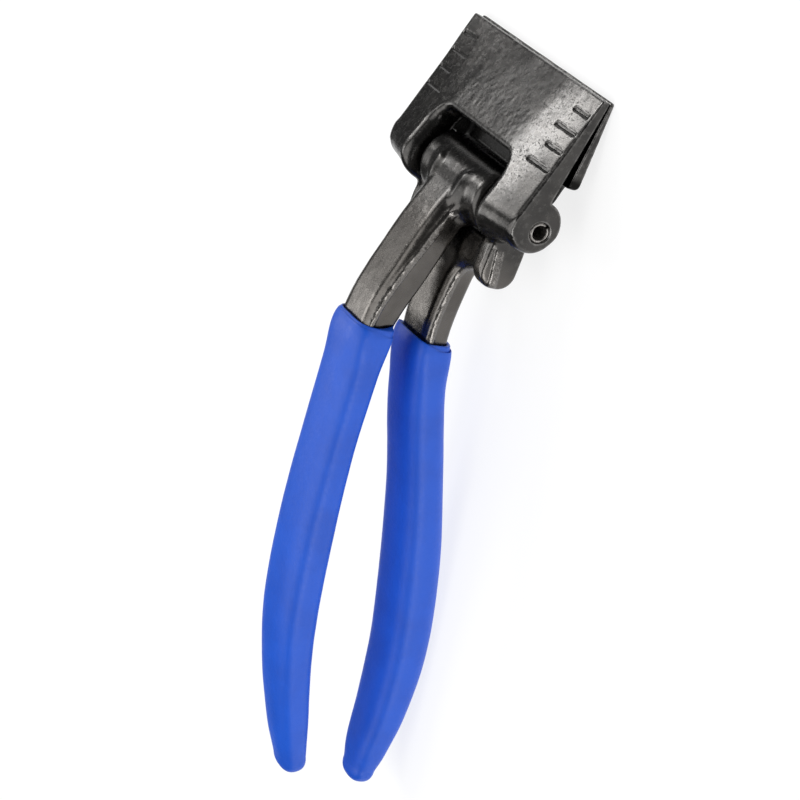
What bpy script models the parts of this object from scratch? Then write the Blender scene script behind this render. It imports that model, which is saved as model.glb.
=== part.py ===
"""Hand seamer: two crossing steel forgings on one spring pin, with a vinyl sleeve on each handle.

The upper jaw and the lower handle are one forging, which rings the hub of the other: the lower jaw and the upper
handle. The design is drawn in the jaws' own frame, in millimetres: X runs along the pivot, Y forward to the jaw tips
and Z up, with the pivot axis at Y = Z = 0 and the closed jaws meeting on Z = 0. mesh_object() turns it into metres,
and the frame empty tips the tool on to the surface that it lies on.
"""

import math

import bmesh
import bpy

MM = 0.001

# How the tool lies: the lower jaw's tip and the lower grip's belly on Z = 0
TILT = math.radians(-19.29)
PIVOT_Y = 82.1
PIVOT_Z = 15.12

# Jaws
HALF_WIDTH = 41.275
EDGE_BREAK = 0.9
UPPER_TIP_Y = 42.05
LOWER_TIP_Y = 42.6
TIP_TOP = 2.66
HALF_GAP = 0.15
THROAT_GAP = 1.45
UPPER_SLOPE_SIDE = 0.145
UPPER_SLOPE_EDGE = 0.172
UPPER_SLOPE_FLANK = 0.203
UPPER_SLOPE_CREASE = 0.231
UPPER_SLOPE_PANEL = 0.24
PANEL_X = 20.5
CREASE_X = 25.0
FLANK_X = 33.0
LOWER_TIP_DEPTH = 1.6
LOWER_SLOPE_EDGE = 0.12
LOWER_SLOPE_FLANK = 0.14
LOWER_SLOPE_CREASE = 0.185
LOWER_SLOPE_PANEL = 0.195
LOWER_REAR_Y = 14.9
LOWER_REAR_X = 36.0
NECK_REAR_Y = 8.75
NECK_REAR_X = 30.0

# Ears and window of the upper jaw
EAR_Y = 0.8
EAR_BOTTOM = -6.1
EAR_FRONT = 8.3
EAR_REAR_SIDE = 7.0
EAR_REAR_EDGE = 8.0
EAR_REAR_FLANK = 8.8
EAR_REAR_CREASE = 10.5
EAR_REAR_PANEL = 10.9
EAR_CORNER_Y = 9.1
WINDOW_FRONT = 14.5
WINDOW_HALF = 20.8
WINDOW_CORNER = 5.0
WINDOW_DRAFT = 0.2

# Depth marks, engraved across the upper jaw at every quarter inch
MARK_PITCH = 6.35
MARK_COUNT = 4
MARK_WIDTH = 1.3
MARK_DEPTH = 0.5
MARK_OUTER_X = 40.0
MARK_LENGTHS = (8.5, 11.0)

# Pivot: a quarter-inch slotted spring pin
PIN_RADIUS = 3.175
PIN_WALL = 1.0
PIN_HALF_LENGTH = 41.1
PIN_CHAMFER = 0.35
PIN_SLOT_ANGLE = math.radians(-28.0)
PIN_SLOT_WIDTH = 1.3
CLEARANCE = 0.3

# Hub of the lower jaw
HUB_RADIUS = 10.2
HUB_HALF = 19.2
HUB_FRONT = 9.3
NECK_INSET = 1.4

# Fork of the lower handle
FORK_INNER = 21.4
FORK_OUTER = 26.3
FORK_BEVEL = 1.0
FORK_OVERLAP = 2.2
LOBE_RADIUS = 5.6
LOBE_Y = -17.0
LOBE_Z = -4.9

# Handles: Y, Z, half width and half thickness of the bare forging along its centre line
UPPER_SHANK = (
    (0.0, 4.6, 8.8, 5.2),
    (-15.0, 7.6, 8.8, 6.0),
    (-30.0, 9.4, 8.8, 6.2),
    (-42.0, 10.8, 8.7, 5.9),
    (-52.0, 10.6, 8.6, 5.4),
    (-64.0, 8.6, 8.2, 4.8),
    (-90.0, 2.5, 8.0, 4.3),
    (-116.0, -4.9, 8.0, 4.3),
    (-142.0, -14.1, 7.6, 4.2),
    (-161.0, -23.1, 6.6, 4.0),
    (-177.0, -32.5, 5.4, 3.6),
)
LOWER_SHANK = (
    (-17.0, -5.6, 10.0, 3.9),
    (-28.0, -6.5, 8.9, 4.6),
    (-40.0, -7.9, 8.7, 4.7),
    (-47.0, -9.5, 8.6, 4.6),
    (-56.5, -12.6, 8.4, 4.5),
    (-68.0, -18.5, 8.1, 4.4),
    (-92.0, -32.7, 8.0, 4.4),
    (-117.0, -46.1, 8.0, 4.5),
    (-143.0, -57.6, 7.6, 4.4),
    (-160.0, -62.6, 6.6, 4.1),
    (-174.0, -65.6, 5.4, 3.6),
)

# Grips: the same for the outside of the vinyl, from the collar to the last full section
UPPER_GRIP = (
    (-50.9, 11.1, 10.9, 7.2),
    (-54.0, 10.9, 11.2, 7.3),
    (-64.0, 8.7, 11.2, 7.1),
    (-90.0, 2.6, 11.0, 6.8),
    (-116.0, -4.8, 11.3, 7.3),
    (-142.0, -14.0, 11.0, 7.3),
    (-161.0, -23.0, 10.1, 6.7),
    (-180.0, -34.5, 8.4, 5.7),
    (-191.0, -41.8, 6.7, 4.4),
)
LOWER_GRIP = (
    (-48.9, -10.0, 10.9, 7.2),
    (-52.0, -11.0, 11.2, 7.3),
    (-68.0, -18.5, 11.1, 7.3),
    (-92.0, -32.7, 11.1, 7.4),
    (-117.0, -46.1, 11.5, 8.1),
    (-143.0, -57.6, 11.0, 8.0),
    (-164.0, -63.7, 10.0, 7.0),
    (-180.0, -66.6, 8.2, 5.7),
    (-187.5, -68.0, 6.6, 4.4),
)
GRIP_SQUARENESS = 2.5
SHANK_SQUARENESS = 4.0
GRIP_STEPS = 3
SHANK_STEPS = 2
GRIP_SIDES = 18
SHANK_SIDES = 16
SOCKET_GAP = 0.45
SOCKET_DEPTH = 1.2
TIP_REACH = 5.5

STEEL = ((0.05, 0.048, 0.046, 1.0), 0.42, 1.0)
PIN_STEEL = ((0.30, 0.28, 0.25, 1.0), 0.4, 1.0)
VINYL = ((0.03, 0.10, 0.62, 1.0), 0.5, 0.0)


# ---------------------------------------------------------------- helpers


def clear_scene():
    for old in list(bpy.data.objects):
        bpy.data.objects.remove(old, do_unlink=True)


def material(name, finish):
    colour, roughness, metallic = finish
    made = bpy.data.materials.new(name)
    made.use_nodes = True
    shader = made.node_tree.nodes["Principled BSDF"]
    shader.inputs["Base Color"].default_value = colour
    shader.inputs["Roughness"].default_value = roughness
    shader.inputs["Metallic"].default_value = metallic
    return made


def mesh_object(name, points, faces, finish=None):
    """One object from millimetre points, its faces outward and flat; without a finish it is a cutter."""
    bm = bmesh.new()
    verts = [bm.verts.new((x * MM, y * MM, z * MM)) for x, y, z in points]
    for face in faces:
        bm.faces.new([verts[i] for i in face])
    bmesh.ops.recalc_face_normals(bm, faces=bm.faces)
    bmesh.ops.triangulate(bm, faces=bm.faces)
    mesh = bpy.data.meshes.new(name)
    bm.to_mesh(mesh)
    bm.free()
    made = bpy.data.objects.new(name, mesh)
    bpy.context.scene.collection.objects.link(made)
    if finish:
        mesh.materials.append(material(name, finish))
    else:
        made.hide_render = True
        made.display_type = "WIRE"
    return made


def bands(start, count, rings):
    """Quads between consecutive rings of points, each ring holding count points."""
    faces = []
    for r in range(rings - 1):
        low = start + r * count
        for i in range(count):
            j = (i + 1) % count
            faces.append((low + i, low + j, low + count + j, low + count + i))
    return faces


def loft(name, rings, finish=None):
    """A closed solid through rings of equal length, capped at both ends."""
    count = len(rings[0])
    points = [p for ring in rings for p in ring]
    last = len(points) - count
    faces = bands(0, count, len(rings))
    faces.append(tuple(range(count)))
    faces.append(tuple(range(last, last + count)))
    return mesh_object(name, points, faces, finish)


def prism(name, outline, x_low, x_high):
    """A Y-Z outline drawn out along X."""
    return loft(name, [[(x, y, z) for y, z in outline] for x in (x_low, x_high)])


def combine(target, tool, operation):
    modifier = target.modifiers.new(f"{operation.lower()} {tool.name}", "BOOLEAN")
    modifier.operation = operation
    modifier.solver = "EXACT"
    modifier.object = tool


def arc(centre_y, centre_z, reach_y, reach_z, start, end, steps):
    """Points on an elliptical arc in the Y-Z plane, angles in degrees from +Y towards +Z."""
    turn = [math.radians(start + (end - start) * i / steps) for i in range(steps + 1)]
    return [(centre_y + reach_y * math.cos(a), centre_z + reach_z * math.sin(a)) for a in turn]


def smooth_rows(rows, steps):
    """A Catmull-Rom curve through rows of numbers, steps spans between each pair."""
    ends = [rows[0]] + list(rows) + [rows[-1]]
    out = []
    for k in range(len(rows) - 1):
        a, b, c, d = ends[k : k + 4]
        for i in range(steps):
            t = i / steps
            out.append(
                tuple(
                    0.5 * (2 * q + (r - p) * t + (2 * p - 5 * q + 4 * r - s) * t * t
                           + (3 * q - p - 3 * r + s) * t ** 3)
                    for p, q, r, s in zip(a, b, c, d)
                )
            )
    out.append(tuple(rows[-1]))
    return out


def sweep_rings(rows, squareness, sides):
    """Superelliptic sections square to a centre line of (y, z, half width, half thickness) rows."""
    rings = []
    for k, (y, z, half_width, half_thick) in enumerate(rows):
        before = rows[max(k - 1, 0)]
        after = rows[min(k + 1, len(rows) - 1)]
        run_y, run_z = after[0] - before[0], after[1] - before[1]
        size = math.hypot(run_y, run_z)
        across_y, across_z = -run_z / size, run_y / size
        ring = []
        for i in range(sides):
            a = 2 * math.pi * (i + 0.5) / sides
            c, s = math.cos(a), math.sin(a)
            x = half_width * math.copysign(abs(c) ** (2 / squareness), c)
            n = half_thick * math.copysign(abs(s) ** (2 / squareness), s)
            ring.append((x, y + across_y * n, z + across_z * n))
        rings.append(ring)
    return rings


def rounded_tip(rows, reach):
    """The rows with two more that round the end off, reach beyond the last one."""
    y, z, half_width, half_thick = rows[-1]
    run_y, run_z = y - rows[-2][0], z - rows[-2][1]
    size = math.hypot(run_y, run_z)
    more = []
    for share in (0.6, 0.95):
        shrink = math.sqrt(1 - share * share)
        more.append((y + run_y / size * reach * share, z + run_z / size * reach * share,
                     half_width * shrink, half_thick * shrink))
    return rows + more


def pin_bore(name):
    radius = PIN_RADIUS + CLEARANCE
    return prism(name, arc(0, 0, radius, radius, 0, 345, 23), -HALF_WIDTH - 2, HALF_WIDTH + 2)


# ---------------------------------------------------------------- upper jaw and lower handle


def upper_jaw_outline(slope, drop, rear):
    """The Y-Z outline at one place across the jaw: blade, ear and underside."""
    crown = TIP_TOP + slope * (UPPER_TIP_Y - EAR_Y) - drop
    middle, half = (crown + EAR_BOTTOM) / 2, (crown - EAR_BOTTOM) / 2
    top = [(y, TIP_TOP + slope * (UPPER_TIP_Y - y) - drop) for y in (UPPER_TIP_Y, 28.0, WINDOW_FRONT, 4.5)]
    ear = arc(EAR_Y, middle, rear, half, 90, 270, 10) + arc(EAR_Y, middle, EAR_FRONT, half, 285, 325, 3)
    under = [(EAR_CORNER_Y, THROAT_GAP), (UPPER_TIP_Y, HALF_GAP)]
    return top + ear + under


def upper_jaw_blank():
    """The blade and ears, drawn across the width; the flanks fall away outward from a flat middle panel."""
    stations = (
        (HALF_WIDTH, UPPER_SLOPE_SIDE, EDGE_BREAK, EAR_REAR_SIDE),
        (HALF_WIDTH - EDGE_BREAK, UPPER_SLOPE_EDGE, 0.0, EAR_REAR_EDGE),
        (FLANK_X, UPPER_SLOPE_FLANK, 0.0, EAR_REAR_FLANK),
        (CREASE_X, UPPER_SLOPE_CREASE, 0.0, EAR_REAR_CREASE),
        (PANEL_X, UPPER_SLOPE_PANEL, 0.0, EAR_REAR_PANEL),
    )
    across = [(-x, *rest) for x, *rest in stations] + [(x, *rest) for x, *rest in reversed(stations)]
    rings = [[(x, y, z) for y, z in upper_jaw_outline(*rest)] for x, *rest in across]
    return loft("upper_jaw", rings, STEEL)


def window_cutter():
    """The drafted slot between the ears, round at its front corners and open to the rear."""
    rings = []
    for z in (-12.0, 0.0, 16.0):
        spread = WINDOW_DRAFT * max(z + 1.0, 0.0)
        half = WINDOW_HALF + spread
        front = WINDOW_FRONT + spread * 0.4
        turn = [math.radians(a) for a in range(0, 91, 15)]
        corner = [(half - WINDOW_CORNER + WINDOW_CORNER * math.cos(a),
                   front - WINDOW_CORNER + WINDOW_CORNER * math.sin(a)) for a in turn]
        right = [(half, -20.0)] + corner
        ring = right + [(-x, y) for x, y in reversed(right)]
        rings.append([(x, y, z) for x, y in ring])
    return loft("window_cutter", rings)


def mark_cutters():
    """Grooves with round ends, laid square to the jaw's slope; they notch the jaw's sides' upper edges."""
    lean = math.atan(UPPER_SLOPE_EDGE)
    points, faces = [], []
    for side in (-1, 1):
        for k in range(MARK_COUNT):
            along = MARK_PITCH * (k + 1)
            y = UPPER_TIP_Y - along * math.cos(lean)
            inner = MARK_OUTER_X - MARK_LENGTHS[k % 2]
            floor_in = TIP_TOP + UPPER_SLOPE_FLANK * (UPPER_TIP_Y - y) - MARK_DEPTH
            floor_out = TIP_TOP + UPPER_SLOPE_EDGE * (UPPER_TIP_Y - y) - MARK_DEPTH
            half = MARK_WIDTH / 2
            outline = [(inner, y, floor_in)]
            outline += [(inner + half, y + half, floor_in), (MARK_OUTER_X, y + half, floor_out)]
            outline += [(MARK_OUTER_X + half, y, floor_out)]
            outline += [(MARK_OUTER_X, y - half, floor_out), (inner + half, y - half, floor_in)]
            start = len(points)
            count = len(outline)
            points += [(side * x, yy, z) for x, yy, z in outline]
            points += [(side * x, yy, z + 4.0) for x, yy, z in outline]
            faces += [tuple(start + i for i in f) for f in bands(0, count, 2)]
            faces += [tuple(range(start, start + count)), tuple(range(start + count, start + 2 * count))]
    return mesh_object("mark_cutters", points, faces)


def fork_arm(side):
    """One arm from an ear back to its round lobe."""
    lobe = arc(LOBE_Y, LOBE_Z, LOBE_RADIUS, LOBE_RADIUS, 105, 265, 8)
    front = [(-9.5, -10.3), (-2.0, -9.0), (4.0, -5.2), (5.0, 3.0), (-2.5, 7.0), (-11.4, 2.6)]
    outline = lobe + front
    rings = []
    for x, shrink in ((FORK_INNER, 0.0), (FORK_OUTER - FORK_BEVEL, 0.0), (FORK_OUTER, FORK_BEVEL)):
        ring = []
        for y, z in outline:
            out_y, out_z = y - LOBE_Y / 2, z - LOBE_Z / 2
            size = math.hypot(out_y, out_z)
            ring.append((side * x, y - out_y / size * shrink, z - out_z / size * shrink))
        rings.append(ring)
    return loft(f"fork_arm_{'left' if side < 0 else 'right'}", rings)


def fork_bridge():
    """The web that joins the two arms under the upper handle, hollowed in front to clear the hub."""
    outline = [(-21.2, -7.6), (-21.9, -5.0), (-20.4, -1.7), (-15.0, -0.4), (-11.4, -0.8)]
    outline += [(-11.0, -2.5), (-9.9, -5.4), (-9.3, -7.6), (-12.0, -9.0), (-15.5, -9.2)]
    return prism("fork_bridge", outline, -FORK_INNER - FORK_OVERLAP, FORK_INNER + FORK_OVERLAP)


def upper_jaw():
    jaw = upper_jaw_blank()
    combine(jaw, window_cutter(), "DIFFERENCE")
    for side in (-1, 1):
        combine(jaw, fork_arm(side), "UNION")
    combine(jaw, fork_bridge(), "UNION")
    shank = loft("lower_shank", sweep_rings(smooth_rows(LOWER_SHANK, SHANK_STEPS), SHANK_SQUARENESS, SHANK_SIDES))
    combine(jaw, shank, "UNION")
    combine(jaw, pin_bore("upper_bore"), "DIFFERENCE")
    combine(jaw, mark_cutters(), "DIFFERENCE")
    return jaw


# ---------------------------------------------------------------- lower jaw and upper handle


def lower_jaw_outline(slope, rear_y):
    """The Y-Z outline of the lower blade, with its round rear edge."""
    deep = -LOWER_TIP_DEPTH - slope * (LOWER_TIP_Y - 2.0 - rear_y)
    nose = [(LOWER_TIP_Y - 0.2, -HALF_GAP), (LOWER_TIP_Y, -0.8), (LOWER_TIP_Y - 1.7, -LOWER_TIP_DEPTH - 0.1)]
    radius = (-THROAT_GAP - deep) / 2
    rear = arc(rear_y + radius, (-THROAT_GAP + deep) / 2, radius, radius, 255, 105, 6)
    return nose + rear


def lower_jaw_blank():
    stations = (
        (HALF_WIDTH, LOWER_SLOPE_EDGE, LOWER_REAR_Y),
        (LOWER_REAR_X, LOWER_SLOPE_FLANK, LOWER_REAR_Y),
        (NECK_REAR_X, LOWER_SLOPE_FLANK, NECK_REAR_Y),
        (CREASE_X, LOWER_SLOPE_CREASE, NECK_REAR_Y),
        (PANEL_X, LOWER_SLOPE_PANEL, NECK_REAR_Y),
    )
    across = [(-x, *rest) for x, *rest in stations] + [(x, *rest) for x, *rest in reversed(stations)]
    rings = [[(x, y, z) for y, z in lower_jaw_outline(*rest)] for x, *rest in across]
    return loft("lower_jaw", rings, STEEL)


def hub():
    """The barrel round the pin, flat in front, with its ends rounded off."""
    rings = []
    for x, share in ((HUB_HALF, 0.86), (HUB_HALF - 0.8, 0.95), (HUB_HALF - 2.4, 1.0)):
        ring = arc(0, 0, HUB_RADIUS * share, HUB_RADIUS * share, 0, 345, 23)
        rings.append([(x, min(y, HUB_FRONT * share), z) for y, z in ring])
    rings += [[(-x, y, z) for x, y, z in ring] for ring in reversed(rings)]
    return loft("hub", rings)


def hub_neck():
    """The web from the barrel forward into the lower blade."""
    outline = [(3.0, -2.6), (9.0, -2.2), (24.0, -1.6), (30.0, -2.6), (18.0, -6.4), (9.5, -8.6), (2.0, -9.2)]
    return prism("hub_neck", outline, -HUB_HALF + NECK_INSET, HUB_HALF - NECK_INSET)


def lower_jaw():
    jaw = lower_jaw_blank()
    combine(jaw, hub_neck(), "UNION")
    combine(jaw, hub(), "UNION")
    shank = loft("upper_shank", sweep_rings(smooth_rows(UPPER_SHANK, SHANK_STEPS), SHANK_SQUARENESS, SHANK_SIDES))
    combine(jaw, shank, "UNION")
    combine(jaw, pin_bore("lower_bore"), "DIFFERENCE")
    return jaw


# ---------------------------------------------------------------- pin and grips


def pivot_pin():
    """A rolled spring pin: a C section with chamfered ends, its slot turned forward and down."""
    half_slot = math.degrees(PIN_SLOT_WIDTH / 2 / PIN_RADIUS)
    start = math.degrees(PIN_SLOT_ANGLE) + half_slot
    end = start + 360 - 2 * half_slot
    inside = PIN_RADIUS - PIN_WALL
    rings = []
    for x, shrink in ((1.0, PIN_CHAMFER), (1.0, 0.0), (-1.0, 0.0), (-1.0, PIN_CHAMFER)):
        place = x * (PIN_HALF_LENGTH - (0.0 if shrink else 2 * PIN_CHAMFER))
        outer = arc(0, 0, PIN_RADIUS - shrink, PIN_RADIUS - shrink, start, end, 20)
        inner = arc(0, 0, inside, inside, end, start, 20)
        rings.append([(place, y, z) for y, z in outer + inner])
    return loft("pivot_pin", rings, PIN_STEEL)


def grip(name, rows, shank_rows):
    """A dipped vinyl sleeve: a round-ended outside and a socket that holds the handle with a small clearance."""
    outer = rounded_tip(smooth_rows(rows, GRIP_STEPS), TIP_REACH)
    collar_y, collar_z = rows[0][:2]
    curve = smooth_rows(shank_rows, SHANK_STEPS)
    before = [row for row in curve if row[0] >= collar_y][-1]
    tang = [row for row in curve if row[0] < collar_y - SOCKET_DEPTH]
    mouth = (collar_y, collar_z, before[2], before[3])
    last = tang[-1]
    run_y, run_z = last[0] - tang[-2][0], last[1] - tang[-2][1]
    further = SOCKET_DEPTH / math.hypot(run_y, run_z)
    beyond = (last[0] + run_y * further, last[1] + run_z * further, last[2], last[3])
    socket = [(y, z, w + SOCKET_GAP, t + SOCKET_GAP) for y, z, w, t in [mouth] + tang + [beyond]]
    outside = sweep_rings(outer, GRIP_SQUARENESS, GRIP_SIDES)
    inside = sweep_rings(socket, SHANK_SQUARENESS, GRIP_SIDES)
    rings = outside[::-1] + inside
    return loft(name, rings, VINYL)


# ---------------------------------------------------------------- assembly


def shade_round(made):
    mesh = made.data
    mesh.shade_smooth()
    mesh.set_sharp_from_angle(angle=math.radians(35))


def build():
    clear_scene()
    frame = bpy.data.objects.new("jaw_frame", None)
    bpy.context.scene.collection.objects.link(frame)
    frame.location = (0.0, PIVOT_Y * MM, PIVOT_Z * MM)
    frame.rotation_euler = (TILT, 0.0, 0.0)
    nodes = [
        upper_jaw(),
        lower_jaw(),
        pivot_pin(),
        grip("upper_grip", UPPER_GRIP, UPPER_SHANK),
        grip("lower_grip", LOWER_GRIP, LOWER_SHANK),
    ]
    for node in nodes:
        shade_round(node)
    for made in bpy.context.scene.collection.objects:
        if made is not frame:
            made.parent = frame


build()
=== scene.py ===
"""Looks for the hand seamer: two black forgings, a spring pin and two blue dipped grips, round the CAD frame.

Every shape is drawn in the jaws' own frame, in millimetres, as part.py draws it: X along the pivot, Y
forward to the jaw tips, Z up, the pivot axis at Y = Z = 0. The forgings are blended solids: each is a
function that is negative inside the steel, and surface_net() puts a mesh on its zero level. The last
argument of smax() and smin() is how softly that edge or joint is rounded. world_points() turns a mesh into
the row frame.
"""

import math

import bpy
import numpy as np
from mathutils import Matrix, Vector


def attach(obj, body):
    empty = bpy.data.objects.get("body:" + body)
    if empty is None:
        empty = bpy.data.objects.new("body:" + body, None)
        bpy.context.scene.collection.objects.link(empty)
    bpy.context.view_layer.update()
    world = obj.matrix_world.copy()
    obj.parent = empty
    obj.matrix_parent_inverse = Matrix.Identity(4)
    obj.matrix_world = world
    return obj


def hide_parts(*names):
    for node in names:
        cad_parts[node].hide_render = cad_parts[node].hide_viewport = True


MM = 0.001
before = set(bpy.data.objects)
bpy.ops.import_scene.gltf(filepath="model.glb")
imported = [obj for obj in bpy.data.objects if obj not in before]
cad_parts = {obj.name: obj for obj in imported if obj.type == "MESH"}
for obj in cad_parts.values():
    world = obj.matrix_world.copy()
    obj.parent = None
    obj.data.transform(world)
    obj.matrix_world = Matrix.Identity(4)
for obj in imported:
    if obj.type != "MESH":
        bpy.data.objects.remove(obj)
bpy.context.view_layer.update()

# ---------------------------------------------------------------- dimensions, close to those in part.py

TILT = math.radians(-19.29)
PIVOT_Y = 82.1
PIVOT_Z = 15.12

HALF_WIDTH = 41.275
UPPER_TIP_Y = 42.05
LOWER_TIP_Y = 42.6
TIP_TOP = 2.66
HALF_GAP = 0.15
THROAT_GAP = 1.45
THROAT_Y = 9.0
# distance from the middle plane and how steeply the jaw's outside rises there, going back from the tip
UPPER_SLOPES = ((0.0, 0.243), (18.7, 0.246), (25.0, 0.229), (33.0, 0.203), (40.4, 0.172), (46.0, 0.15))
LOWER_TIP_DEPTH = 1.6
LOWER_SLOPES = ((0.0, 0.19), (18.0, 0.19), (20.5, 0.195), (25.0, 0.185), (33.0, 0.14), (46.0, 0.115))
LOWER_REAR_Y = 14.9
LOWER_REAR_X = 36.0
NECK_REAR_Y = 8.5
NECK_REAR_X = 30.0
NECK_REAR_Z = -1.6
NECK_REAR_LEAN = 0.35
WEDGE_TOP = -2.2
WEDGE_BOTTOM = -9.2
WEDGE_RISE = 0.236
WEDGE_REAR = 2.0
WEDGE_FRONT = 30.0
WEDGE_HALF = 17.8

EAR_Y = 0.8
EAR_BOTTOM = -6.1
EAR_FRONT = 8.3
EAR_HALF_X = 41.75
# distance from the middle plane and how far back the ear reaches there
EAR_REAR = ((21.5, 10.9), (25.0, 10.4), (29.0, 9.4), (33.0, 8.8), (41.0, 8.1))
WINDOW_FRONT = 14.5
WINDOW_HALF = 20.8
WINDOW_CORNER = 5.0
WINDOW_DRAFT = 0.2

MARK_PITCH = 6.35
MARK_COUNT = 4
MARK_WIDTH = 1.3
MARK_DEPTH = 0.5
MARK_OUTER_X = 40.0
MARK_LENGTHS = (8.5, 11.0)
MARK_LEAN = math.atan(0.17)

PIN_RADIUS = 3.175
PIN_BORE_GAP = 0.1
PIN_WALL = 1.0
PIN_HALF_LENGTH = 41.1
# distance in from the pin's end and the chamfer's depth there
PIN_END = ((0.0, 0.34), (0.08, 0.2), (0.25, 0.06), (0.55, 0.0), (3.0, 0.0), (20.0, 0.0))
PIN_SLOT_ANGLE = math.radians(-28.0)
PIN_SLOT_WIDTH = 1.3

HUB_RADIUS = 10.2
HUB_HALF = 19.2
HUB_FRONT = 9.65
FORK_INNER = 20.9
FORK_OUTER = 26.3
FORK_CENTRE = (-9.3, -4.0)
FORK_LEAN = 0.12
FORK_HALVES = (13.3, 5.8)
FORK_CORNER = 4.8
LOBE_FLASH = 0.4
BRIDGE_CENTRE = (-15.4, -4.6)
BRIDGE_LEAN = 0.2
BRIDGE_HALVES = (6.0, 4.2)
BRIDGE_CORNER = 3.2
BRIDGE_HALF_X = 23.6
BRIDGE_HUB_GAP = 0.7

# Y, Z, half width, half thickness along each centre line
UPPER_SHANK = (
    (0.0, 4.6, 8.8, 5.2),
    (-15.0, 7.6, 8.8, 6.0),
    (-30.0, 9.4, 8.8, 6.2),
    (-42.0, 10.8, 8.7, 5.9),
    (-52.0, 10.6, 8.6, 5.4),
    (-64.0, 8.6, 8.2, 4.8),
    (-90.0, 2.5, 8.0, 4.3),
    (-116.0, -4.9, 8.0, 4.3),
    (-142.0, -14.1, 7.6, 4.2),
    (-161.0, -23.1, 6.6, 4.0),
    (-177.0, -32.5, 5.4, 3.6),
)
LOWER_SHANK = (
    (-17.0, -5.6, 10.0, 3.9),
    (-28.0, -6.5, 8.9, 4.6),
    (-40.0, -7.9, 8.7, 4.7),
    (-47.0, -9.5, 8.6, 4.6),
    (-56.5, -12.6, 8.4, 4.5),
    (-68.0, -18.5, 8.1, 4.4),
    (-92.0, -32.7, 8.0, 4.4),
    (-117.0, -46.1, 8.0, 4.5),
    (-143.0, -57.6, 7.6, 4.4),
    (-160.0, -62.6, 6.6, 4.1),
    (-174.0, -65.6, 5.4, 3.6),
)
UPPER_GRIP = (
    (-50.7, 11.1, 9.9, 6.5),
    (-54.0, 10.9, 10.9, 7.1),
    (-64.0, 8.7, 11.2, 7.1),
    (-90.0, 2.6, 11.0, 6.8),
    (-116.0, -4.8, 11.3, 7.3),
    (-142.0, -14.0, 11.0, 7.3),
    (-161.0, -23.0, 10.1, 6.7),
    (-180.0, -34.5, 8.4, 5.7),
    (-191.0, -41.8, 6.7, 4.4),
)
LOWER_GRIP = (
    (-48.8, -10.0, 9.9, 6.1),
    (-52.0, -11.0, 11.0, 7.0),
    (-68.0, -18.5, 11.1, 7.3),
    (-92.0, -32.7, 11.1, 7.4),
    (-117.0, -46.1, 11.5, 8.1),
    (-143.0, -57.6, 11.0, 8.0),
    (-164.0, -63.7, 10.0, 7.0),
    (-180.0, -66.6, 8.2, 5.7),
    (-187.5, -68.0, 6.6, 4.4),
)
# Y and the height of the parting line over the centre line
UPPER_PARTING = ((-64.0, 3.6), (-52.0, 3.9), (-42.0, 3.7), (-30.0, 3.2), (-15.0, 1.6), (2.0, 0.5))
LOWER_PARTING = ((-64.0, 2.4), (-47.0, 2.6), (-28.0, 2.4), (-17.0, 1.2))
LOBE_PARTING = ((-12.5, -1.7), (-21.6, -4.5))

SHANK_CORNERS = (3.4, 2.6)
STRIP_HALF = 1.35
STRIP_PROUD = 0.35
DRAFT = 0.12

GRIP_SQUARENESS = 2.5
COLLAR_SQUARENESS = 1.1
SHANK_SQUARENESS = 4.0
COLLAR_LENGTH = 16.0
COLLAR_ROUND = 0.5
SLANT_LENGTH = 14.0
TIP_REACH = 5.5
TIP_ROWS = 14
SOCKET_GAP = 0.35

# ---------------------------------------------------------------- mesh steps

FINE = 0.42
COARSE = 1.3
# past these, the handle is inside its grip
TANG_Y = -56.0
TANG_Z = -14.0
EDGE_PROBE = 0.7
SLOPE_STEP = 0.1
SLOPE_STEPS = 30


# ---------------------------------------------------------------- blended solids


def smax(a, b, k):
    """The larger of a and b, with the corner between them rounded to a radius of about 0.85 k."""
    h = np.clip(0.5 + 0.5 * (a - b) / k, 0.0, 1.0)
    return b + (a - b) * h + k * h * (1.0 - h)


def smin(a, b, k):
    return -smax(-a, -b, k)


def step(low, high, x):
    t = np.clip((x - low) / (high - low), 0.0, 1.0)
    return t * t * (3.0 - 2.0 * t)


def round_box(u, v, half_u, half_v, radius):
    """Distance to a rectangle with round corners."""
    a, b = np.abs(u) - half_u + radius, np.abs(v) - half_v + radius
    return np.hypot(np.maximum(a, 0.0), np.maximum(b, 0.0)) + np.minimum(np.maximum(a, b), 0.0) - radius


def turned(y, z, centre_y, centre_z, angle):
    """Y and Z about a centre, turned by an angle."""
    c, s = math.cos(angle), math.sin(angle)
    return (y - centre_y) * c + (z - centre_z) * s, (z - centre_z) * c - (y - centre_y) * s


def ellipse(u, v, reach_u, reach_v):
    q = np.sqrt((u / reach_u) ** 2 + (v / reach_v) ** 2) + 1e-6
    return (q - 1.0) * q / (np.hypot(u / reach_u**2, v / reach_v**2) + 1e-6)


def smooth_rows(rows, steps):
    """A Catmull-Rom curve through rows of numbers, steps spans between each pair."""
    rows = np.array(rows, float)
    ends = np.vstack([2 * rows[0] - rows[1], rows, 2 * rows[-1] - rows[-2]])
    t = np.arange(steps)[:, None] / steps
    out = []
    for a, b, c, d in zip(ends, ends[1:], ends[2:], ends[3:]):
        squared = 2 * a - 5 * b + 4 * c - d
        cubed = 3 * b - a - 3 * c + d
        out.append(0.5 * (2 * b + (c - a) * t + squared * t**2 + cubed * t**3))
    return np.vstack(out + [rows[-1:]])


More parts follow.
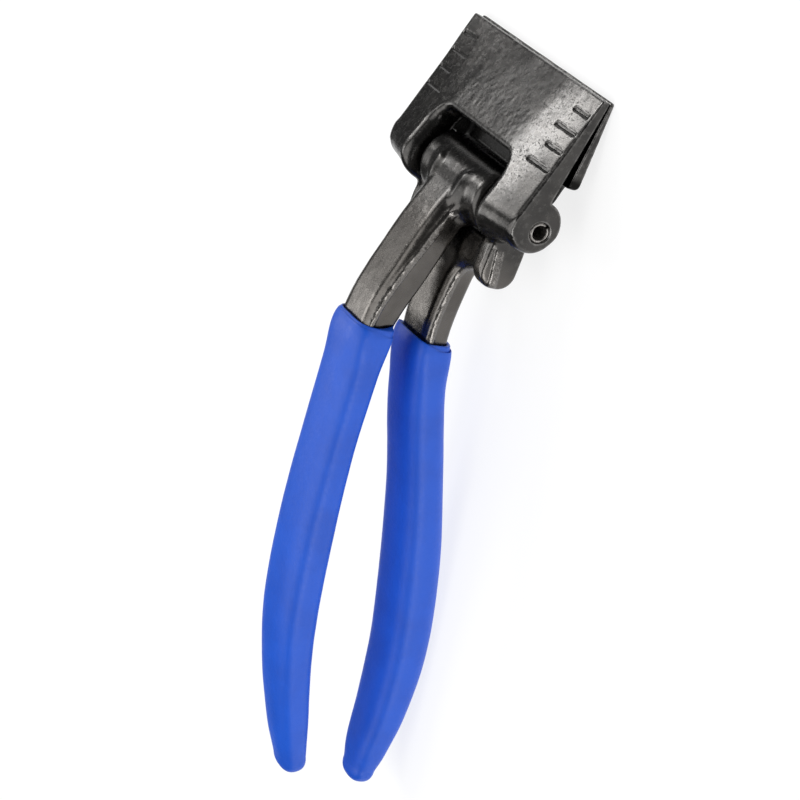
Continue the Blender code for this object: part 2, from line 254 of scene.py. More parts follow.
def softened(knots, spread=0.8):
    """A table of slope against distance from the middle plane, its corners smoothed over."""
    x = np.arange(0.0, knots[-1][0], SLOPE_STEP)
    values = np.interp(x, *zip(*knots))
    reach = np.arange(-SLOPE_STEPS, SLOPE_STEPS + 1)
    weights = np.exp(-0.5 * (reach * SLOPE_STEP / spread) ** 2)
    padded = np.concatenate([values[SLOPE_STEPS:0:-1], values, values[-2 : -SLOPE_STEPS - 2 : -1]])
    return x, np.convolve(padded, weights / weights.sum(), "valid")


UPPER_SLOPE_TABLE = softened(UPPER_SLOPES)
LOWER_SLOPE_TABLE = softened(LOWER_SLOPES)


def along_curve(y, z, rows):
    """For each point: its height over the curve, how far past its ends, and the curve's half sizes there."""
    best = np.full(np.broadcast(y, z).shape, 1e9)
    height, past = np.zeros_like(best), np.zeros_like(best)
    wide, thick = np.zeros_like(best), np.zeros_like(best)
    for i, (a, b) in enumerate(zip(rows, rows[1:])):
        run_y, run_z = b[0] - a[0], b[1] - a[1]
        size = math.hypot(run_y, run_z)
        run_y, run_z = run_y / size, run_z / size
        t = (y - a[0]) * run_y + (z - a[1]) * run_z
        u = (z - a[1]) * -run_y + (y - a[0]) * run_z
        over = np.maximum(-t, t - size)
        gap = u * u + np.maximum(over, 0.0) ** 2
        closer = gap < best
        share = np.clip(t / size, 0.0, 1.0)
        end = (i == 0) * -t + (i == len(rows) - 2) * (t - size) if i in (0, len(rows) - 2) else -1e3
        best = np.where(closer, gap, best)
        height = np.where(closer, u, height)
        past = np.where(closer, end, past)
        wide = np.where(closer, a[2] + (b[2] - a[2]) * share, wide)
        thick = np.where(closer, a[3] + (b[3] - a[3]) * share, thick)
    return height, past, wide, thick


def over_parting(y, height, parting):
    return height - np.interp(y, *zip(*parting))


def shank(x, y, z, rows, parting):
    """A forged handle: flat top and bottom, drafted sides, and trimmed flash proud at the parting line."""
    height, past, wide, thick = along_curve(y, z, rows)
    over = np.abs(over_parting(y, height, parting))
    flash = STRIP_PROUD * (1.0 - step(STRIP_HALF - 0.3, STRIP_HALF + 0.3, over))
    side = np.abs(x) - (wide - DRAFT * over + flash)
    corner = np.where(height > 0.0, *SHANK_CORNERS)
    return smax(smax(side, np.abs(height) - thick, corner), past, 1.5)


UPPER_SHANK_CURVE = smooth_rows(UPPER_SHANK, 4)
LOWER_SHANK_CURVE = smooth_rows(LOWER_SHANK, 4)


def mark_grooves(x, y, z, top):
    """The depth marks: round-ended grooves across both flanks of the upper jaw."""
    out = np.full(np.broadcast(x, y, z).shape, 1e3)
    radius = MARK_WIDTH / 2
    for k in range(MARK_COUNT):
        place = UPPER_TIP_Y - MARK_PITCH * (k + 1) * math.cos(MARK_LEAN)
        inner = MARK_OUTER_X - MARK_LENGTHS[k % 2] + radius
        beyond = np.maximum(np.maximum(inner - np.abs(x), np.abs(x) - MARK_OUTER_X + radius), 0.0)
        above = top - radius + MARK_DEPTH
        out = np.minimum(out, np.sqrt(beyond**2 + (y - place) ** 2 + above**2) - radius)
    return out


def over_lobe_parting(y, z):
    (y1, z1), (y2, z2) = LOBE_PARTING
    return (z - z1 - (y - y1) * (z2 - z1) / (y2 - y1)) / math.hypot(1.0, (z2 - z1) / (y2 - y1))


def blade_and_ears(ax, y, z, slope, top):
    """The upper jaw's wedge-shaped blade and the rounded ears behind it, before the window is cut."""
    under = HALF_GAP + (UPPER_TIP_Y - y) * (THROAT_GAP - HALF_GAP) / (UPPER_TIP_Y - THROAT_Y) - z
    crown = TIP_TOP + slope * (UPPER_TIP_Y - EAR_Y)
    half = (crown - EAR_BOTTOM) / 2
    up = z - (crown + EAR_BOTTOM) / 2
    reach = np.where(y < EAR_Y, np.interp(ax, *zip(*EAR_REAR)), EAR_FRONT) + 0.3 * step(0.0, half, -up)
    ear = ellipse(y - EAR_Y, up + slope * (y - EAR_Y) * np.clip(up / half, 0.0, 1.0), reach, half)
    cap = np.where((y > EAR_Y) | (up < 0.0), top, ear)
    blade = smax(cap, ax - 41.9, np.clip(0.9 + 0.1 * (UPPER_TIP_Y - y), 0.9, 2.4))
    blade = smax(smax(blade, under, 0.5), y - UPPER_TIP_Y, 0.45)
    blade = smax(blade, EAR_Y - 5.0 - y, 0.5)
    ear = smax(ear, ax - EAR_HALF_X, 1.3 + 1.7 * step(-2.0, 3.0, -y))
    return smin(blade, ear, 0.1 + 0.7 * (1.0 - step(1.5, 4.0, z)))


def hub_window(ax, y, z):
    """The window for the hub: open behind, round in its front corners and wider toward the top."""
    spread = 0.2 + WINDOW_DRAFT * np.maximum(z, 0.0)
    across = ax - (WINDOW_HALF + spread - WINDOW_CORNER)
    ahead = y - (WINDOW_FRONT + 0.4 * spread - WINDOW_CORNER)
    corner = np.hypot(np.maximum(across, 0.0), np.maximum(ahead, 0.0)) - WINDOW_CORNER
    return np.where((across < 0) & (ahead < 0), np.maximum(across, ahead) - WINDOW_CORNER, corner)


def fork(ax, y, z):
    """The arms that carry the ears, with the flash on their rear lobes, and the bridge between them."""
    u, v = turned(y, z, *FORK_CENTRE, FORK_LEAN)
    flash = 1.0 - step(STRIP_HALF - 0.25, STRIP_HALF + 0.25, np.abs(over_lobe_parting(y, z)))
    flash = LOBE_FLASH * flash * (1.0 - step(-2.5, -0.5, u))
    outer = ax - (FORK_OUTER - DRAFT * np.abs(v) + flash)
    arm = smax(round_box(u, v, *FORK_HALVES, FORK_CORNER), np.maximum(outer, FORK_INNER - ax), 1.8)
    u, v = turned(y, z, *BRIDGE_CENTRE, BRIDGE_LEAN)
    bridge = smax(round_box(u, v, *BRIDGE_HALVES, BRIDGE_CORNER), ax - BRIDGE_HALF_X, 1.0)
    bridge = smax(bridge, HUB_RADIUS + BRIDGE_HUB_GAP - np.hypot(y, z), 1.0)
    return smin(arm, bridge, 4.5)


def ground_and_bored(body, ax, y, z):
    """A forging cut back to its ground sides, with the bore for the pin."""
    body = smax(body, ax - HALF_WIDTH, 0.3)
    return smax(body, PIN_RADIUS + PIN_BORE_GAP - np.hypot(y, z), 0.35)


def upper_jaw_field(x, y, z):
    """The upper jaw's forging: blade, ears, window, fork and lower handle."""
    ax = np.abs(x)
    slope = np.interp(ax, *UPPER_SLOPE_TABLE)
    top = (z - TIP_TOP - slope * (UPPER_TIP_Y - y)) / np.sqrt(1 + slope**2)
    body = blade_and_ears(ax, y, z, slope, top)
    body = smax(body, -hub_window(ax, y, z), 2.0 + 1.6 * (1.0 - step(8.0, 13.0, y)))
    body = smin(body, fork(ax, y, z), 2.5)
    body = smin(body, shank(x, y, z, LOWER_SHANK_CURVE, LOWER_PARTING), 6.0)
    body = smax(body, -mark_grooves(x, y, z, top), 0.3)
    return ground_and_bored(body, ax, y, z)


def lower_blade(ax, y, z):
    """The lower jaw's blade, which reaches further back beside the ears than between them."""
    slope = np.interp(ax, *LOWER_SLOPE_TABLE)
    top = z + HALF_GAP + (LOWER_TIP_Y - y) * (THROAT_GAP - HALF_GAP) / (LOWER_TIP_Y - NECK_REAR_Y)
    under = -(z + LOWER_TIP_DEPTH + slope * (LOWER_TIP_Y - 2.0 - y)) / np.sqrt(1 + slope**2)
    flare = step(NECK_REAR_X, LOWER_REAR_X, ax)
    lean = NECK_REAR_LEAN * (1.0 - flare) * (z - NECK_REAR_Z)
    rear = NECK_REAR_Y + (LOWER_REAR_Y - NECK_REAR_Y) * flare + lean - y
    blade = smax(smax(under, ax - 41.6, 0.9), rear, 1.5 + 0.9 * flare)
    return smax(smax(blade, y - LOWER_TIP_Y, 0.8), top, 0.6)


def neck_wedge(ax, y, z):
    """The neck that joins the lower blade to the hub."""
    wedge = smax(z - WEDGE_TOP, (WEDGE_BOTTOM + WEDGE_RISE * (y - WEDGE_REAR) - z) / 1.03, 1.5)
    wedge = smax(smax(wedge, y - WEDGE_FRONT, 1.0), WEDGE_REAR - y, 1.0)
    return smax(wedge, ax - WEDGE_HALF, 4.0)


def lower_jaw_field(x, y, z):
    """The lower jaw's forging: blade, neck, hub and upper handle."""
    ax = np.abs(x)
    hub = smax(np.hypot(y, z) - HUB_RADIUS, y - HUB_FRONT, 0.25)
    hub = smax(hub, ax - HUB_HALF, 2.6)
    handle = shank(x, y, z, UPPER_SHANK_CURVE, UPPER_PARTING)
    handle = smin(hub, handle, 1.4 + 3.6 * step(5.0, 9.0, ax))
    body = smin(smin(lower_blade(ax, y, z), neck_wedge(ax, y, z), 3.0), handle, 1.5)
    return ground_and_bored(body, ax, y, z)


# ---------------------------------------------------------------- meshing


def surface_net(field, axes):
    """Quads on the zero level of a field sampled on a grid, with one vertex in each cell that it crosses."""
    inside = field < 0
    shape = np.array(field.shape)
    cell_ids, crossings, quads = [], [], []
    for a in range(3):
        b, c = (a + 1) % 3, (a + 2) % 3
        low = [slice(None)] * 3
        high = [slice(None)] * 3
        low[a], high[a] = slice(0, -1), slice(1, None)
        low, high = tuple(low), tuple(high)
        at = np.argwhere(inside[low] != inside[high])
        up = at.copy()
        up[:, a] += 1
        f0, f1 = field[tuple(at.T)], field[tuple(up.T)]
        t = f0 / (f0 - f1)
        place = np.stack([axes[i][at[:, i]] for i in range(3)], 1)
        place[:, a] += t * (axes[a][up[:, a]] - axes[a][at[:, a]])
        around = []
        for step_b, step_c in ((-1, -1), (0, -1), (0, 0), (-1, 0)):
            cell = at.copy()
            cell[:, b] += step_b
            cell[:, c] += step_c
            around.append((cell[:, 0] * shape[1] + cell[:, 1]) * shape[2] + cell[:, 2])
        around = np.stack(around, 1)
        flip = ~inside[tuple(at.T)]
        around[flip] = around[flip][:, ::-1]
        quads.append(around)
        cell_ids.append(around.ravel())
        crossings.append(np.repeat(place, 4, axis=0))
    ids, index = np.unique(np.concatenate(cell_ids), return_inverse=True)
    crossings = np.concatenate(crossings)
    count = np.bincount(index)
    points = np.stack([np.bincount(index, crossings[:, i]) / count for i in range(3)], 1)
    return points, index.reshape(-1, 4)


def gradient(function, points, reach):
    out = np.zeros_like(points)
    for i in range(3):
        ahead, behind = points.copy(), points.copy()
        ahead[:, i] += reach
        behind[:, i] -= reach
        out[:, i] = (function(*ahead.T) - function(*behind.T)) / (2 * reach)
    return out


def unit(vectors):
    return vectors / np.maximum(np.linalg.norm(vectors, axis=1, keepdims=True), 1e-9)


def lattice(keys, seed):
    """A repeatable number from 0 to 1 for each whole-number lattice point."""
    mixed = keys[..., 0] * 73856093 ^ keys[..., 1] * 19349663 ^ keys[..., 2] * 83492791 ^ seed * 2654435761
    mixed = (mixed ^ (mixed >> 13)) * 1274126177 & 0x7FFFFFFF
    return ((mixed ^ (mixed >> 16)) & 0xFFFF) / 65535.0


def noise(points, size, seed):
    """Smooth value noise from -1 to 1 with features of about that size, in millimetres."""
    place = points / size
    cell = np.floor(place).astype(np.int64)
    t = place - cell
    t = t * t * (3.0 - 2.0 * t)
    total = 0.0
    for corner in np.ndindex(2, 2, 2):
        weight = np.prod(np.where(corner, t, 1.0 - t), axis=1)
        total = total + weight * lattice(cell + corner, seed)
    return 2.0 * total - 1.0


def grid_lines(low, switch, high):
    """Coarse steps from low to switch, where the handle is inside its grip, then fine ones to high."""
    return np.concatenate([np.arange(low, switch, COARSE), np.arange(switch, high, FINE)])


def forging(name, function, z_low, z_high, masks):
    """A piece from a blended solid, with its forged unevenness and the masks that its material reads."""
    reach_x = HALF_WIDTH + 1.3
    axes = (
        np.arange(-reach_x, reach_x, FINE),
        grid_lines(-180.0, TANG_Y, LOWER_TIP_Y + 1.2),
        grid_lines(z_low, max(z_low + 1.0, TANG_Z), z_high),
    )
    field = function(axes[0][:, None, None], axes[1][None, :, None], axes[2][None, None, :])
    points, quads = surface_net(field, axes)
    for _ in range(2):
        slope = gradient(function, points, 0.02)
        push = function(*points.T) / np.maximum((slope**2).sum(1), 0.05)
        points -= slope * np.clip(push, -0.3, 0.3)[:, None]
    normals = unit(gradient(function, points, 0.05))
    probes = EDGE_PROBE * np.vstack([np.eye(3), -np.eye(3)])
    bend = sum(function(*(points + probe).T) for probe in probes) - 6 * function(*points.T)
    values = masks(points, normals)
    values["edge"] = np.clip(bend / EDGE_PROBE, 0.0, 1.0)
    forged = 1.0 - values["ground"]
    lift = 0.05 * noise(points, 7.0, 1) + 0.02 * noise(points, 2.3, 2)
    lift = lift + values["strip"] * (0.1 * noise(points, 1.3, 3) + 0.05 * noise(points, 0.7, 4))
    lift = lift + values["rough"] * (0.018 * noise(points, 1.3, 5) + 0.02 * noise(points, 0.7, 6))
    points = points + normals * (lift * forged)[:, None]
    return mesh_piece(name, points, quads, values)


def world_points(points):
    """Jaw-frame millimetres to the row frame in metres."""
    c, s = math.cos(TILT), math.sin(TILT)
    x, y, z = np.asarray(points, float).T
    return np.stack([x, c * y - s * z + PIVOT_Y, s * y + c * z + PIVOT_Z], 1) * MM


def mesh_piece(name, points, quads, values=None):
    """A smooth-shaded object in the row frame, with one point attribute for each mask."""
    mesh = bpy.data.meshes.new(name)
    mesh.vertices.add(len(points))
    mesh.vertices.foreach_set("co", world_points(points).ravel())
    mesh.loops.add(quads.size)
    mesh.loops.foreach_set("vertex_index", quads.ravel())
    mesh.polygons.add(len(quads))
    mesh.polygons.foreach_set("loop_start", np.arange(0, quads.size, quads.shape[1]))
    mesh.update(calc_edges=True)
    mesh.validate()
    mesh.shade_smooth()
    for key, value in (values or {}).items():
        mesh.attributes.new(key, "FLOAT", "POINT").data.foreach_set("value", value.astype(np.float32))
    piece = bpy.data.objects.new(name, mesh)
    bpy.context.scene.collection.objects.link(piece)
    return piece


# ---------------------------------------------------------------- masks


def strip_mask(points, rows, parting, normals):
    """1 on the trimmed flash along a handle's sides."""
    height, past, wide, thick = along_curve(points[:, 1], points[:, 2], rows)
    over = np.abs(over_parting(points[:, 1], height, parting))
    on_side = step(0.55, 0.85, np.abs(normals[:, 0])) * step(0.0, 1.5, -past)
    near = np.abs(np.abs(points[:, 0]) - wide) < 1.5
    return on_side * near * (1.0 - step(STRIP_HALF - 0.2, STRIP_HALF + 0.35, over))


def ground_mask(points, normals):
    """1 on the jaws' two ground sides."""
    return step(0.75, 0.97, np.abs(normals[:, 0])) * step(-0.25, -0.08, np.abs(points[:, 0]) - HALF_WIDTH)


def upper_masks(points, normals):
    x, y, z = points.T
    u, _ = turned(y, z, *FORK_CENTRE, FORK_LEAN)
    lobe = step(0.6, 0.9, np.abs(normals[:, 0])) * (1.0 - step(-3.0, -1.5, u))
    lobe = lobe * step(FORK_OUTER - 1.8, FORK_OUTER - 0.8, np.abs(x)) * (np.abs(x) < FORK_OUTER + 1.2)
    lobe = lobe * (1.0 - step(STRIP_HALF - 0.2, STRIP_HALF + 0.3, np.abs(over_lobe_parting(y, z))))
    top = step(0.5, 0.9, normals[:, 2]) * step(0.0, 8.0, y)
    panel = top * (1.0 - step(16.0, 21.0, np.abs(x))) * step(13.0, 17.0, y)
    return {
        "strip": np.clip(strip_mask(points, LOWER_SHANK_CURVE, LOWER_PARTING, normals) + lobe, 0.0, 1.0),
        "ground": ground_mask(points, normals),
        "rough": panel * (1.0 - step(24.0, 38.0, y)),
        "pitted": top * step(18.0, 22.0, x) * (1.0 - step(29.0, 38.0, x)),
        "handle": step(10.0, 24.0, -y),
        # painted shade: the middle panel on the upper jaw's top is drawn darker, as if in shade
        "painted_shade": 0.45 * panel,
    }


def lower_masks(points, normals):
    return {
        "strip": strip_mask(points, UPPER_SHANK_CURVE, UPPER_PARTING, normals),
        "ground": ground_mask(points, normals),
        "rough": np.zeros(len(points)),
        "pitted": np.zeros(len(points)),
        "handle": step(4.0, 20.0, -points[:, 1]),
        # painted shade: the lower jaw from the hub's front to the blade's rear, inside the window, is drawn
        # near black for the shade there
        "painted_shade": step(7.0, 8.5, points[:, 1]) * (1.0 - step(17.0, 20.0, points[:, 1])),
    }


# ---------------------------------------------------------------- pin and grips


def bands(count, rings, start=0):
    """Quads between consecutive rings of count points."""
    r, i = np.meshgrid(np.arange(rings - 1), np.arange(count), indexing="ij")
    low, j = start + r * count, (i + 1) % count
    return np.stack([low + i, low + j, low + count + j, low + count + i], -1).reshape(-1, 4)


def spring_pin():
    """A rolled C section, chamfered outside and in at both ends."""
    half_slot = PIN_SLOT_WIDTH / 2 / PIN_RADIUS
    steps = 64
    turn = PIN_SLOT_ANGLE + half_slot + (2 * math.pi - 2 * half_slot) * np.arange(steps + 1) / steps
    stations = [(PIN_HALF_LENGTH - x, cut) for x, cut in PIN_END]
    stations = stations + [(-x, cut) for x, cut in reversed(stations)]
    points = []
    for x, cut in stations:
        for radius, way in ((PIN_RADIUS - cut, 1), (PIN_RADIUS - PIN_WALL + 0.4 * cut, -1)):
            a = turn[::way]
            points.append(np.stack([np.full(len(a), x), radius * np.cos(a), radius * np.sin(a)], 1))
    ring = 2 * (steps + 1)
    quads = bands(ring, len(stations))
    caps = []
    for base in (0, (len(stations) - 1) * ring):
        i = np.arange(steps)
        cap = np.stack([base + i, base + i + 1, base + ring - 2 - i, base + ring - 1 - i], 1)
        caps.append(cap if base == 0 else cap[:, ::-1])
    quads = np.concatenate([quads[:, ::-1]] + [cap[:, ::-1] for cap in caps])
    return mesh_piece("spring_pin", np.vstack(points), quads)


def rings_along(rows, squareness, sides):
    """Superelliptic sections square to the centre line; squareness is one number or one for each row."""
    rows = np.asarray(rows, float)
    squareness = np.broadcast_to(squareness, len(rows))[:, None]
    run = unit(np.gradient(rows[:, :2], axis=0))
    a = 2 * np.pi * (np.arange(sides) + 0.5) / sides
    c, s = np.cos(a), np.sin(a)
    x = rows[:, 2:3] * np.sign(c) * np.abs(c) ** (2 / squareness)
    n = rows[:, 3:4] * np.sign(s) * np.abs(s) ** (2 / squareness)
    return np.stack([x, rows[:, 0:1] - run[:, 1:2] * n, rows[:, 1:2] + run[:, 0:1] * n], -1)


def tip_rows(body):
    """Rows past a sleeve's last one that shrink to its blunt end."""
    last = body[-1]
    ahead = unit(body[-1:, :2] - body[-2:-1, :2])[0]
    rows = []
    for share in np.sin(np.linspace(0.0, 0.5 * np.pi, TIP_ROWS))[1:-1]:
        shrink = (1 - share**2.6) ** (1 / 2.2)
        rows.append((*(last[:2] + ahead * TIP_REACH * share), last[2] * shrink, last[3] * shrink))
    rows.append((*(last[:2] + ahead * TIP_REACH), 0.3, 0.2))
    return rows


def socket_rows(mouth, shank_rows):
    """Rows of the hole inside a sleeve: the handle's own, with a gap round it, from the sleeve's mouth on."""
    tang = smooth_rows(shank_rows, 4)
    tang = tang[tang[:, 0] < mouth[0] - 0.8]
    return np.vstack([[*mouth[:2], *tang[0, 2:]], tang]) + np.array([0.0, 0.0, SOCKET_GAP, SOCKET_GAP])


def rolled_lip(outer, inner, middle, back):
    """Rings from the outside's first one round the collar's edge to the socket's first one."""
    lip = []
    for turn in (0.4, 0.85, 1.3, 1.57):
        inward = COLLAR_ROUND * (1 - math.cos(turn)) * unit(outer - middle)
        lip.append(outer - inward + back * COLLAR_ROUND * math.sin(turn))
    lip.append(inner + back * (COLLAR_ROUND - 0.1))
    return lip


def grip_piece(name, rows, shank_rows, slant, seed):
    """A dipped sleeve: soft outside, rolled collar on a slanted dip line, blunt tip and the socket inside."""
    sides = 96
    body = smooth_rows(rows, 12)
    outside = np.vstack([body, tip_rows(body)])
    from_collar = np.hypot(*(outside[:, :2] - outside[0, :2]).T)
    squareness = GRIP_SQUARENESS + COLLAR_SQUARENESS * (1.0 - step(0.0, COLLAR_LENGTH, from_collar))
    rings = rings_along(outside, squareness, sides)
    inner = rings_along(socket_rows(body[0], shank_rows), SHANK_SQUARENESS, sides)

    back = np.array([0.0, *unit(body[:1, :2] - body[1:2, :2])[0]])
    across = np.array([0.0, -back[2], back[1]])
    middle = np.array([0.0, *body[0, :2]])
    fade = 1.0 - step(0.0, SLANT_LENGTH, from_collar)
    rings = rings + ((rings - middle) @ across * slant * fade[:, None])[..., None] * back
    inner[0] += ((inner[0] - middle) @ across * slant)[:, None] * back
    lip = rolled_lip(rings[0], inner[0], middle, back)

    points = np.vstack([rings[::-1].reshape(-1, 3), *lip, inner.reshape(-1, 3)])
    count = len(points) // sides
    i = np.arange(sides // 2 - 1)
    tip_cap = np.stack([i + 1, i, sides - 1 - i, sides - 2 - i], 1)
    socket_cap = tip_cap[:, ::-1] + (count - 1) * sides
    quads = np.concatenate([bands(sides, count), tip_cap, socket_cap])
    wave = 0.1 * noise(points, 16.0, seed) + 0.05 * noise(points, 5.0, seed + 1)
    wave[len(outside) * sides :] = 0.0
    outward = unit(points - np.repeat(points.reshape(count, sides, 3).mean(1), sides, axis=0))
    return mesh_piece(name, points + outward * wave[:, None], quads)


# ---------------------------------------------------------------- materials


class Nodes:
    """A short hand for building one material's nodes."""

    def __init__(self, name):
        self.material = bpy.data.materials.new(name)
        self.material.use_nodes = True
        self.tree = self.material.node_tree
        self.shader = self.tree.nodes["Principled BSDF"]
        self.place = self.add("ShaderNodeTexCoord").outputs["Object"]

    def add(self, kind, **settings):
        node = self.tree.nodes.new(kind)
        for key, value in settings.items():
            setattr(node, key, value)
        return node

    def put(self, socket, value):
        if isinstance(value, bpy.types.NodeSocket):
            self.tree.links.new(value, socket)
        else:
            socket.default_value = value

    def attribute(self, name):
        return self.add("ShaderNodeAttribute", attribute_name=name).outputs["Fac"]

    def noise(self, size_mm, detail=3.0, roughness=0.55):
        node = self.add("ShaderNodeTexNoise")
        self.put(node.inputs["Vector"], self.place)
        node.inputs["Scale"].default_value = 1.0 / (size_mm * MM)
        node.inputs["Detail"].default_value = detail
        node.inputs["Roughness"].default_value = roughness
        return node.outputs["Fac"]

    def math(self, operation, a, b=0.0, clamp=False):
        node = self.add("ShaderNodeMath", operation=operation, use_clamp=clamp)
        self.put(node.inputs[0], a)
        self.put(node.inputs[1], b)
        return node.outputs[0]

    def ramp(self, value, low, high, out_low=0.0, out_high=1.0):
        node = self.add("ShaderNodeMapRange", interpolation_type="SMOOTHSTEP")
        for key, number in (("Value", value), ("From Min", low), ("From Max", high)):
            self.put(node.inputs[key], number)
        self.put(node.inputs["To Min"], out_low)
        self.put(node.inputs["To Max"], out_high)
        return node.outputs["Result"]

    def mix(self, share, a, b):
        node = self.add("ShaderNodeMix", data_type="RGBA")
        self.put(node.inputs["Factor"], share)
        self.put(node.inputs["A"], a)
        self.put(node.inputs["B"], b)
        return node.outputs["Result"]

    def bump(self, height, distance_mm, strength=1.0, below=None):
        node = self.add("ShaderNodeBump")
        self.put(node.inputs["Height"], height)
        node.inputs["Distance"].default_value = distance_mm * MM
        node.inputs["Strength"].default_value = strength
        if below is not None:
            self.put(node.inputs["Normal"], below)
        return node.outputs["Normal"]


def grey(value, warm=0.0):
    return (value * (1 + warm), value, value * (1 - warm), 1.0)


def forged_steel():
    n = Nodes("black_forging")
    masks = ("edge", "strip", "pitted", "handle", "painted_shade")
    edge, strip, pitted, handle, painted_shade = (n.attribute(mask) for mask in masks)
    broad, fine, grain = n.noise(9.0), n.noise(1.6, 4.0), n.noise(0.45, 2.0)
    patches = n.ramp(broad, 0.35, 0.65)
    colour = n.mix(patches, grey(0.052, 0.03), grey(0.07, 0.04))
    colour = n.mix(n.ramp(fine, 0.5, 0.75), colour, grey(0.09, 0.04))
    colour = n.mix(handle, colour, n.mix(patches, grey(0.1, 0.07), grey(0.125, 0.07)))
    colour = n.mix(n.math("MULTIPLY", pitted, n.ramp(fine, 0.4, 0.6)), colour, grey(0.11, 0.03))
    worn = n.math("MULTIPLY", n.ramp(edge, 0.25, 0.8), n.ramp(fine, 0.3, 0.6), clamp=True)
    colour = n.mix(n.math("MULTIPLY", worn, 0.5), colour, grey(0.25, 0.03))
    colour = n.mix(n.math("MULTIPLY", strip, n.ramp(grain, 0.35, 0.65)), colour, grey(0.2, 0.05))
    # painted shade: a near-black colour laid over the places the painted-shade mask picks out, standing in
    # for shade
    colour = n.mix(painted_shade, colour, grey(0.012, 0.03))
    n.put(n.shader.inputs["Base Color"], colour)
    n.shader.inputs["Metallic"].default_value = 1.0
    n.put(n.shader.inputs["Roughness"], n.ramp(fine, 0.3, 0.7, 0.22, 0.29))
    pits = n.ramp(n.noise(0.7, 2.0), 0.6, 0.72, 1.0, 0.0)
    height = n.math("ADD", n.math("MULTIPLY", fine, 0.6), n.math("MULTIPLY", grain, 0.3))
    pits = n.math("MULTIPLY", pits, n.math("ADD", pitted, 0.15))
    n.put(n.shader.inputs["Normal"], n.bump(pits, 0.1, 0.8, n.bump(height, 0.1, 0.5)))
    return n.material


def pin_steel():
    n = Nodes("pin_steel")
    fine = n.noise(0.8)
    n.put(n.shader.inputs["Base Color"], n.mix(n.ramp(fine, 0.35, 0.65), grey(0.3, 0.05), grey(0.5, 0.05)))
    n.shader.inputs["Metallic"].default_value = 1.0
    n.put(n.shader.inputs["Roughness"], n.ramp(fine, 0.3, 0.7, 0.3, 0.45))
    n.put(n.shader.inputs["Normal"], n.bump(n.noise(0.35), 0.05, 0.5))
    return n.material


def vinyl():
    n = Nodes("blue_vinyl")
    broad, leather, grain = n.noise(14.0), n.noise(1.1, 3.0), n.noise(0.4, 2.0)
    colour = n.mix(n.ramp(broad, 0.3, 0.7), (0.005, 0.085, 0.58, 1.0), (0.006, 0.1, 0.66, 1.0))
    n.put(n.shader.inputs["Base Color"], colour)
    n.put(n.shader.inputs["Roughness"], n.ramp(leather, 0.3, 0.7, 0.42, 0.52))
    height = n.math("ADD", leather, n.math("MULTIPLY", grain, 0.5))
    n.put(n.shader.inputs["Normal"], n.bump(height, 0.1, 0.7))
    return n.material


# ---------------------------------------------------------------- the object


def place_piece(piece, material, body, node):
    piece.data.materials.append(material)
    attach(piece, body)
    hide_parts(node)


steel, bright, blue = forged_steel(), pin_steel(), vinyl()
piece = forging("upper_jaw_forging", upper_jaw_field, -71.0, 14.0, upper_masks)
place_piece(piece, steel, "upper_jaw_lever", "upper_jaw")
piece = forging("lower_jaw_forging", lower_jaw_field, -38.0, 18.0, lower_masks)
place_piece(piece, steel, "lower_jaw_lever", "lower_jaw")
place_piece(spring_pin(), bright, "upper_jaw_lever", "pivot_pin")
piece = grip_piece("upper_handle_grip", UPPER_GRIP, UPPER_SHANK, -0.13, 11)
place_piece(piece, blue, "lower_jaw_lever", "upper_grip")
piece = grip_piece("lower_handle_grip", LOWER_GRIP, LOWER_SHANK, 0.04, 21)
place_piece(piece, blue, "upper_jaw_lever", "lower_grip")

# ---------------------------------------------------------------- stage, light and camera


FLOOR_HALF = 3.0
CAMERA_SPOT = (728.94, 102.28, 488.8)
CAMERA_AIM = (9.71, -68.1, -6.96)
CAMERA_ROLL = -68.76
CAMERA_LENS = 133.04
CAMERA_SENSOR = 36.0


def floor():
    """A plain pale floor under the tool."""
    mesh = bpy.data.meshes.new("floor")
    corners = [(x * FLOOR_HALF, y * FLOOR_HALF, 0) for x, y in ((-1, -1), (1, -1), (1, 1), (-1, 1))]
    mesh.from_pydata(corners, [], [(0, 1, 2, 3)])
    made = bpy.data.objects.new("floor", mesh)
    bpy.context.scene.collection.objects.link(made)
    n = Nodes("floor")
    n.put(n.shader.inputs["Base Color"], n.mix(n.noise(300.0), grey(0.2), grey(0.22)))
    n.shader.inputs["Roughness"].default_value = 0.9
    n.shader.inputs["Emission Color"].default_value = grey(1.0)
    n.shader.inputs["Emission Strength"].default_value = 0.82
    mesh.materials.append(n.material)


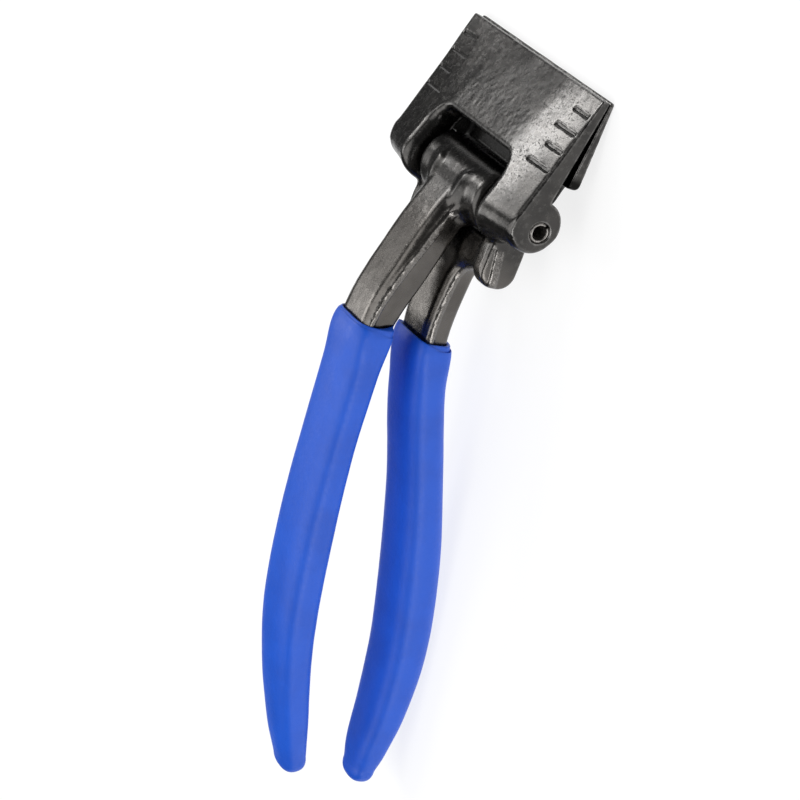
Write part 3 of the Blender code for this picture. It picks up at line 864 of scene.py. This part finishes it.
def studio_world():
    world = bpy.data.worlds.new("studio")
    world.use_nodes = True
    background = world.node_tree.nodes["Background"]
    background.inputs["Color"].default_value = grey(1.0)
    background.inputs["Strength"].default_value = 0.1
    bpy.context.scene.world = world


def panel_light(name, direction, distance, size, watts):
    """A soft panel in a direction of the row frame, facing the tool; its size is in metres, across and up."""
    light = bpy.data.lights.new(name, "AREA")
    light.shape = "RECTANGLE"
    light.size, light.size_y = size
    light.energy = watts
    made = bpy.data.objects.new(name, light)
    bpy.context.scene.collection.objects.link(made)
    toward = Vector(direction).normalized()
    made.location = toward * distance
    made.rotation_euler = toward.to_track_quat("Z", "Y").to_euler()


def camera():
    """A long lens above the tool's right side, aimed past the pivot and rolled to stand the tool up."""
    data = bpy.data.cameras.new("camera")
    data.sensor_width, data.lens = CAMERA_SENSOR, CAMERA_LENS
    data.clip_start = 0.01
    made = bpy.data.objects.new("camera", data)
    bpy.context.scene.collection.objects.link(made)
    jaws = Matrix.Translation((0.0, PIVOT_Y * MM, PIVOT_Z * MM)) @ Matrix.Rotation(TILT, 4, "X")
    spot, aim = Vector(CAMERA_SPOT), Vector(CAMERA_AIM)
    facing = (spot - aim).to_track_quat("Z", "Y").to_matrix().to_4x4()
    roll = Matrix.Rotation(math.radians(CAMERA_ROLL), 4, "Z")
    made.matrix_world = jaws @ Matrix.Translation(spot * MM) @ facing @ roll
    bpy.context.scene.camera = made


floor()
studio_world()
panel_light("key", (-0.735, 0.503, 0.589), 1.07, (0.19, 0.17), 1.6)
panel_light("key_wide", (-0.547, 0.543, 0.739), 1.06, (0.3, 0.25), 0.8)
panel_light("left", (-0.766, 0.05, 0.6), 1.0, (0.5, 0.2), 0.5)
panel_light("back", (-0.672, -0.018, 0.761), 1.0, (0.35, 0.3), 1.5)
panel_light("overhead", (0.15, -0.1, 1.0), 1.2, (1.4, 1.4), 12.0)
panel_light("fill", (0.9, -0.35, 0.12), 1.2, (0.6, 0.5), 5.0)
camera()
bpy.context.scene.view_settings.view_transform = "Standard"
